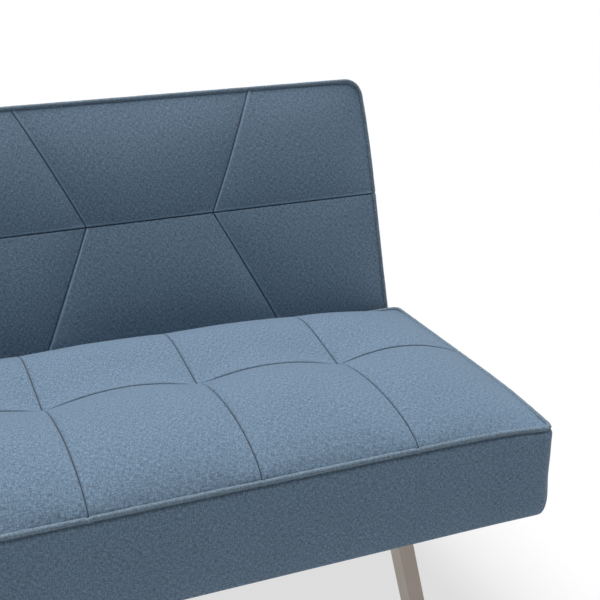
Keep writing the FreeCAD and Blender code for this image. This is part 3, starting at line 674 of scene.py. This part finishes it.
def stitches(name, corners, z, length=0.0042, gap=0.0026, radius=0.00045):
    """Row of thread stitches along a closed line of straight runs, each a small flattened spindle."""
    points, faces = [], []
    sides = 6
    for start, end in zip(corners, corners[1:] + corners[:1]):
        start, end = np.array([*start, z]), np.array([*end, z])
        ahead = (end - start) / np.linalg.norm(end - start)
        across = np.array([-ahead[1], ahead[0], 0])
        for place in np.arange(gap, np.linalg.norm(end - start) - length, length + gap):
            first = len(points)
            points += [start + ahead * place, start + ahead * (place + length)]
            for share, size in ((0.18, 0.8), (0.5, 1.0), (0.82, 0.8)):
                centre = start + ahead * (place + length * share)
                for k in range(sides):
                    angle = 2 * np.pi * k / sides
                    reach = radius * size
                    drop = np.array([0, 0, reach * math.sin(angle)])
                    points.append(centre + across * reach * math.cos(angle) - drop)
            rings = [list(range(first + 2 + sides * r, first + 2 + sides * (r + 1))) for r in range(3)]
            for k in range(sides):
                n = (k + 1) % sides
                faces.append([first, rings[0][n], rings[0][k]])
                faces.append([first + 1, rings[2][k], rings[2][n]])
                for near, far in zip(rings, rings[1:]):
                    faces.append([near[k], near[n], far[n], far[k]])
    return mesh_object(name, points, faces)


def dust_sheet():
    """Black lining under the seat: tight over the rails and slightly slack between them."""
    low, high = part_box("seat_dust_cover")
    rails = [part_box(name) for name in ("right_side_rail", "left_side_rail")]
    crosses = [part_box(name) for name in ("front_cross_rail", "middle_cross_rail")]

    def shape(x, y):
        away = np.minimum(high.x - np.abs(x), np.minimum(y - low.y, high.y - y))
        for a, b in rails:
            away = np.minimum(away, np.maximum(a.x - x, x - b.x))
        for a, b in crosses:
            away = np.minimum(away, np.maximum(a.y - y, y - b.y))
        slack = 1 - np.exp(-np.clip(away - 0.006, 0, 1) / 0.06)
        return -slack * np.clip(DUST_SLACK + waves(x, y, DUST_WAVE, 31), 0, 1)

    across = (low.x + DUST_INSET, high.x - DUST_INSET)
    along = (low.y + DUST_INSET, high.y - DUST_INSET)
    obj = thin_sheet("seat_dust_sheet", across, along, low.z + DUST_LIFT, DUST_THICK, shape)
    return obj, (across[1] - across[0], along[1] - along[0])


def resampled(loop, step):
    """Closed line with points a step apart."""
    ring = np.concatenate([loop, loop[:1]])
    along = np.concatenate([[0], np.cumsum(np.linalg.norm(np.diff(ring, axis=0), axis=1))])
    count = int(along[-1] / step)
    places = np.arange(count) * along[-1] / count
    return np.stack([np.interp(places, along, ring[:, k]) for k in range(3)], axis=-1)


def raised(obj):
    """Swings a piece that was drawn lying flat up to the sofa position."""
    turn = Matrix.Rotation(math.pi / 2 - BACK_LEAN, 4, "X")
    obj.data.transform(Matrix.Translation(PIVOT) @ turn @ Matrix.Translation(-PIVOT))
    return obj


# ------------------------------------------------------------------ materials

class Surface:
    """One material and its nodes."""

    def __init__(self, name):
        self.material = bpy.data.materials.new(name)
        self.material.use_nodes = True
        self.tree = self.material.node_tree
        self.shader = self.tree.nodes["Principled BSDF"]

    def node(self, kind, **inputs):
        made = self.tree.nodes.new("ShaderNode" + kind)
        for key, value in inputs.items():
            self.put(made.inputs[key.replace("_", " ")], value)
        return made

    def put(self, socket, value):
        if isinstance(value, bpy.types.NodeSocket):
            self.tree.links.new(value, socket)
        else:
            socket.default_value = value

    def math(self, operation, a, b=0.0, clamp=False):
        made = self.tree.nodes.new("ShaderNodeMath")
        made.operation = operation
        made.use_clamp = clamp
        self.put(made.inputs[0], a)
        self.put(made.inputs[1], b)
        return made.outputs[0]

    def scaled(self, vector, scale):
        made = self.tree.nodes.new("ShaderNodeVectorMath")
        made.operation = "MULTIPLY"
        self.put(made.inputs[0], vector)
        made.inputs[1].default_value = scale
        return made.outputs[0]

    def noise(self, vector, scale=1.0, detail=2.0, roughness=0.5):
        made = self.node("TexNoise", Scale=scale, Detail=detail, Roughness=roughness)
        self.put(made.inputs["Vector"], vector)
        return made.outputs["Fac"]

    def ramp(self, value, *stops):
        made = self.tree.nodes.new("ShaderNodeValToRGB")
        self.put(made.inputs[0], value)
        elements = made.color_ramp.elements
        while len(elements) < len(stops):
            elements.new(0.5)
        for element, (place, colour) in zip(elements, stops):
            element.position = place
            element.color = (*colour, 1)
        return made.outputs[0]

    def mix(self, factor, a, b, kind="MIX"):
        made = self.tree.nodes.new("ShaderNodeMix")
        made.data_type = "RGBA"
        made.blend_type = kind
        self.put(made.inputs[0], factor)
        for socket, value in ((made.inputs[6], a), (made.inputs[7], b)):
            if isinstance(value, tuple):
                value = (*value, 1)
            self.put(socket, value)
        return made.outputs[2]

    def bump(self, height, distance, strength=1.0, normal=None):
        made = self.node("Bump", Strength=strength, Distance=distance, Height=height)
        if normal is not None:
            self.put(made.inputs["Normal"], normal)
        return made.outputs[0]

    def finish(self, **inputs):
        for key, value in inputs.items():
            if isinstance(value, tuple) and len(value) == 3:
                value = (*value, 1)
            self.put(self.shader.inputs[key.replace("_", " ")], value)
        return self.material


def shade(colour, factor):
    return tuple(min(1.0, c * factor) for c in colour)


def woven(name, colour, pitch, turn=0.0, contrast=0.42, fuzz=0.16):
    """Plain weave of two sets of slubby threads, in the cloth's own coordinates, with painted shade along the
    seams and between the threads, and a painted highlight beside the seams.
    """
    s = Surface(name)
    cloth = s.tree.nodes.new("ShaderNodeUVMap")
    cloth.uv_map = "cloth"
    place = cloth.outputs[0]
    if turn:
        rotate = s.node("VectorRotate", Angle=turn)
        rotate.rotation_type = "Z_AXIS"
        s.put(rotate.inputs[0], place)
        place = rotate.outputs[0]
    threads = s.scaled(place, (math.pi / pitch,) * 3)
    split = s.tree.nodes.new("ShaderNodeSeparateXYZ")
    s.put(split.inputs[0], threads)
    cross = s.math("MULTIPLY", s.math("SINE", split.outputs[0]), s.math("SINE", split.outputs[1]))
    hump = s.math("ABSOLUTE", cross)
    warp = s.noise(s.scaled(place, (1 / pitch, 0.16 / pitch, 1)), detail=3.0, roughness=0.65)
    weft = s.noise(s.scaled(place, (0.16 / pitch, 1 / pitch, 1)), detail=3.0, roughness=0.65)
    over = s.math("GREATER_THAN", cross, 0.0)
    thread = s.math("ADD", s.math("MULTIPLY", warp, over),
                    s.math("MULTIPLY", weft, s.math("SUBTRACT", 1.0, over)))
    stops = (
        (0.26, shade(colour, 1 - contrast)),
        (0.45, shade(colour, 1 - contrast * 0.30)),
        (0.56, shade(colour, 1 + contrast * 0.35)),
        (0.76, shade(colour, 1 + contrast * 1.5)),
    )
    tint = s.ramp(thread, *stops)
    slub = s.math("ADD", s.noise(s.scaled(place, (170, 600, 1))), s.noise(s.scaled(place, (600, 170, 1))))
    slub = s.math("MULTIPLY", slub, 0.5)
    speckle = s.ramp(slub, (0.40, (0.30, 0.30, 0.33)), (0.60, (1.80, 1.80, 1.76)))
    tint = s.mix(0.42, tint, speckle, "MULTIPLY")
    drift = s.noise(s.scaled(place, (9, 9, 1)), detail=3.0)
    clouds = s.ramp(drift, (0.3, (0.75, 0.77, 0.80)), (0.7, (1.25, 1.23, 1.20)))
    tint = s.mix(0.12, tint, clouds, "MULTIPLY")
    # Painted shade: the cloth is darkened along each seam, standing in for the shade in its groove.
    seam = s.tree.nodes.new("ShaderNodeAttribute")
    seam.attribute_name = "seam"
    near = s.math("MULTIPLY", s.math("SUBTRACT", seam.outputs["Fac"], 0.70, True), 3.6, True)
    tint = s.mix(near, tint, shade(colour, 0.14))
    # Painted highlight: the turned edge beside each seam is lightened, standing in for the light it catches.
    ridge = s.tree.nodes.new("ShaderNodeAttribute")
    ridge.attribute_name = "ridge"
    tint = s.mix(s.math("MULTIPLY", ridge.outputs["Fac"], 0.85), tint, shade(colour, 2.1))
    # Painted shade: the cloth is darker in the hollows between the threads.
    painted_weave_shade = s.math("MULTIPLY", s.math("SUBTRACT", 1.0, hump), 0.20)
    tint = s.mix(painted_weave_shade, tint, shade(colour, 0.45))
    rough = s.math("ADD", 0.82, s.math("MULTIPLY", thread, 0.15))
    hair = s.noise(s.scaled(place, (1900, 1900, 1)), detail=2.0)
    relief = s.math("ADD", s.math("MULTIPLY", hump, 0.7), s.math("MULTIPLY", hair, fuzz))
    normal = s.bump(relief, 0.00035, 0.55)
    return s.finish(
        Base_Color=tint, Roughness=rough, Normal=normal, Specular_IOR_Level=0.25,
        Sheen_Weight=0.22, Sheen_Roughness=0.45, Sheen_Tint=(0.80, 0.88, 1.0),
    )


def object_place(s):
    return s.tree.nodes.new("ShaderNodeTexCoord").outputs["Object"]


def coated(name, colour, rough, grain, metal=0.0, wear=None):
    """Painted or moulded surface: faint orange peel, uneven gloss, and wear along its edges."""
    s = Surface(name)
    place = object_place(s)
    cloud = s.noise(place, 14.0, 4.0)
    fine = s.noise(place, grain, 3.0)
    tint = s.mix(0.5, colour, s.ramp(cloud, (0.3, shade(colour, 0.88)), (0.7, shade(colour, 1.12))))
    if wear:
        edge = s.node("Bevel", Radius=0.0012)
        flat = s.tree.nodes.new("ShaderNodeNewGeometry")
        dot = s.tree.nodes.new("ShaderNodeVectorMath")
        dot.operation = "DOT_PRODUCT"
        s.put(dot.inputs[0], edge.outputs[0])
        s.put(dot.inputs[1], flat.outputs["Normal"])
        bent = s.math("MULTIPLY", s.math("SUBTRACT", 1.0, dot.outputs["Value"]), 3.0, True)
        worn = s.math("MULTIPLY", bent, s.math("GREATER_THAN", s.noise(place, 160.0, 4.0), 0.52))
        tint = s.mix(worn, tint, wear)
    gloss = s.math("ADD", rough - 0.06, s.math("MULTIPLY", s.noise(place, 40.0, 3.0), 0.12))
    return s.finish(Base_Color=tint, Roughness=gloss, Metallic=metal, Normal=s.bump(fine, 0.0002, 0.25))


def steel(name, colour, rough):
    """Bare or plated steel with rolling lines and dull patches."""
    s = Surface(name)
    place = object_place(s)
    lines = s.noise(s.scaled(place, (60, 60, 1400)), 1.0, 3.0)
    patch = s.noise(place, 35.0, 4.0)
    tint = s.mix(0.6, colour, s.ramp(patch, (0.35, shade(colour, 0.75)), (0.65, shade(colour, 1.15))))
    gloss = s.math("ADD", rough - 0.08, s.math("MULTIPLY", lines, 0.2))
    return s.finish(Base_Color=tint, Roughness=gloss, Metallic=1.0, Normal=s.bump(lines, 0.0001, 0.3))


def timber():
    """Sawn softwood: growth rings drawn out along the board, and fine fibres."""
    s = Surface("timber")
    place = object_place(s)
    rings = s.tree.nodes.new("ShaderNodeTexWave")
    rings.wave_type = "RINGS"
    s.put(rings.inputs["Vector"], s.scaled(place, (1.2, 9, 9)))
    for key, value in (("Scale", 4.0), ("Distortion", 6.0), ("Detail", 3.0)):
        rings.inputs[key].default_value = value
    fibre = s.noise(s.scaled(place, (9, 500, 500)), 1.0, 3.0)
    light, dark = (0.60, 0.43, 0.25), (0.42, 0.26, 0.13)
    grown = s.ramp(rings.outputs["Fac"], (0.2, light), (0.9, dark))
    tint = s.mix(0.35, grown, s.ramp(fibre, (0.3, dark), (0.7, light)))
    rough = s.math("ADD", 0.68, s.math("MULTIPLY", fibre, 0.2))
    return s.finish(Base_Color=tint, Roughness=rough, Normal=s.bump(fibre, 0.0004, 0.4))


def fibrous(name, colour, scale, depth):
    """Felt, foam, lining or rubber: a matt mass with its own grain."""
    s = Surface(name)
    place = object_place(s)
    grain = s.noise(place, scale, 5.0, 0.7)
    tint = s.ramp(grain, (0.3, shade(colour, 0.6)), (0.5, colour), (0.7, shade(colour, 1.35)))
    rough = s.math("ADD", 0.84, s.math("MULTIPLY", grain, 0.14))
    return s.finish(Base_Color=tint, Roughness=rough, Normal=s.bump(grain, depth, 0.6))


SLATE = (0.127, 0.192, 0.268)
PIPE_BLUE = (0.142, 0.200, 0.258)
CLOTH = woven("slate_weave", SLATE, 0.0011)
PIPING_CLOTH = woven("slate_bias", PIPE_BLUE, 0.0011, math.radians(45))
FINISHES = {
    "blue_fabric": CLOTH,
    "piping_fabric": PIPING_CLOTH,
    "foam": fibrous("foam", (0.80, 0.76, 0.60), 700.0, 0.0006),
    "felt": fibrous("felt", (0.30, 0.29, 0.28), 420.0, 0.0008),
    "black_lining": fibrous("lining", (0.020, 0.020, 0.022), 900.0, 0.0002),
    "webbing": fibrous("webbing", (0.050, 0.050, 0.050), 800.0, 0.0004),
    "twine": fibrous("twine", (0.75, 0.72, 0.66), 1500.0, 0.0003),
    "timber": timber(),
    "leg_metal": coated("taupe_paint", (0.43, 0.365, 0.31), 0.42, 900.0, wear=(0.55, 0.50, 0.46)),
    "rail_metal": coated("black_paint", (0.030, 0.030, 0.032), 0.45, 900.0, wear=(0.20, 0.20, 0.20)),
    "hinge_steel": steel("hinge_steel", (0.50, 0.50, 0.48), 0.38),
    "zinc": steel("zinc", (0.62, 0.62, 0.59), 0.30),
    "spring_steel": steel("spring_steel", (0.20, 0.20, 0.21), 0.42),
    "rubber": fibrous("rubber", (0.025, 0.025, 0.025), 300.0, 0.0002),
    "black_plastic": coated("black_plastic", (0.030, 0.030, 0.032), 0.48, 1400.0),
}


def clothe_frame():
    """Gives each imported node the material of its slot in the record."""
    for part in frame["record"]["subparts"]:
        mesh = frame["nodes"][part["node"]].data
        mesh.materials.clear()
        mesh.materials.append(FINISHES[part["material_slot"]])


def dressed(obj, slot, body):
    """Finish and body of a new piece."""
    obj.data.materials.clear()
    obj.data.materials.append(FINISHES[slot])
    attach(obj, body)
    return obj


# ------------------------------------------------------------------ set and camera

def studio():
    """Pale floor, a broad soft light overhead, a weaker one in front, and a white surround."""
    size = 30.0
    corners = [(-size, -size, 0), (size, -size, 0), (size, size, 0), (-size, size, 0)]
    floor = mesh_object("floor", corners, [(0, 1, 2, 3)])
    s = Surface("floor")
    s.finish(Base_Color=(0.66, 0.66, 0.66), Roughness=0.9, Specular_IOR_Level=0.1)
    clear = s.node("BsdfTransparent")
    under = s.tree.nodes.new("ShaderNodeNewGeometry")
    both = s.node("MixShader")
    s.put(both.inputs[0], under.outputs["Backfacing"])
    lit = s.node("Emission", Color=(1, 1, 1, 1), Strength=1.0)
    softened = s.node("MixShader", Fac=0.72)
    s.put(softened.inputs[1], s.shader.outputs[0])
    s.put(softened.inputs[2], lit.outputs[0])
    s.put(both.inputs[1], softened.outputs[0])
    s.put(both.inputs[2], clear.outputs[0])
    s.put(s.tree.nodes["Material Output"].inputs[0], both.outputs[0])
    floor.data.materials.append(s.material)
    for name, strength, tilt, turn, spread in (
        ("overhead", 4.90, -9.0, 0.0, 55.0),
        ("front", 0.03, 62.0, 35.0, 60.0),
    ):
        light = bpy.data.lights.new(name, "SUN")
        light.energy = strength
        light.angle = math.radians(spread)
        lamp = bpy.data.objects.new(name, light)
        lamp.rotation_euler = (math.radians(tilt), 0, math.radians(turn))
        scene.collection.objects.link(lamp)
    world = bpy.data.worlds.new("surround")
    world.use_nodes = True
    scene.world = world
    nodes, links = world.node_tree.nodes, world.node_tree.links
    seen = nodes.new("ShaderNodeBackground")
    seen.inputs["Strength"].default_value = 1.0
    seen.inputs["Color"].default_value = (1, 1, 1, 1)
    glow = nodes["Background"]
    glow.inputs["Strength"].default_value = 0.03
    glow.inputs["Color"].default_value = (1, 1, 1, 1)
    rays = nodes.new("ShaderNodeLightPath")
    choose = nodes.new("ShaderNodeMixShader")
    links.new(rays.outputs["Is Camera Ray"], choose.inputs[0])
    links.new(glow.outputs[0], choose.inputs[1])
    links.new(seen.outputs[0], choose.inputs[2])
    links.new(choose.outputs[0], nodes["World Output"].inputs[0])
    scene.view_settings.view_transform = "Standard"


def camera():
    """Three-quarter view of the right-hand half, from in front and above."""
    lens = bpy.data.cameras.new("camera")
    lens.lens = 71.88
    lens.sensor_width = 36.0
    eye = bpy.data.objects.new("camera", lens)
    eye.location = (-0.156, SEAT_FRONT - 1.355, SEAT_PLANE + 0.825)
    eye.rotation_euler = (math.radians(68.97), 0, math.radians(-23.05))
    scene.collection.objects.link(eye)
    scene.camera = eye


# ------------------------------------------------------------------ the sofa

studio()
camera()
clothe_frame()

seat, seat_rim = seat_cushion()
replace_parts(dressed(seat, "blue_fabric", "base"), "seat_cover", "seat_foam")

seat_path = resampled(seat_rim, CORD_STEP)
seat_pipe = piping_tube("seat_cord", seat_path, np.array([0, 0, 1.0]), CORD_RADIUS, 11)
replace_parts(dressed(seat_pipe, "piping_fabric", "base"), "seat_piping")

back, back_rim = back_cushion()
raised(back)
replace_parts(dressed(back, "blue_fabric", "back"), "back_cover", "back_foam", "back_rear_pad")

back_path = resampled(back_rim, CORD_STEP)
back_pipe = raised(piping_tube("back_cord", back_path, np.array([0, 0, 1.0]), CORD_RADIUS, 12))
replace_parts(dressed(back_pipe, "piping_fabric", "back"), "back_piping")

rear, rear_z = rear_cover()
raised(rear)
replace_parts(dressed(rear, "blue_fabric", "back"), "back_rear_panel")
stitch_half = BACK_HALF - STITCH_INSET
stitch_y = (BACK_BOTTOM + STITCH_INSET, BACK_BOTTOM + BACK_LENGTH - STITCH_INSET)
stitch_corners = [(-stitch_half, stitch_y[0]), (stitch_half, stitch_y[0])]
stitch_corners += [(stitch_half, stitch_y[1]), (-stitch_half, stitch_y[1])]
rear_stitches = raised(stitches("back_rear_stitches", stitch_corners, rear_z))
dressed(rear_stitches, "twine", "back")

dust, dust_size = dust_sheet()
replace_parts(dressed(dust, "black_lining", "base"), "seat_dust_cover")
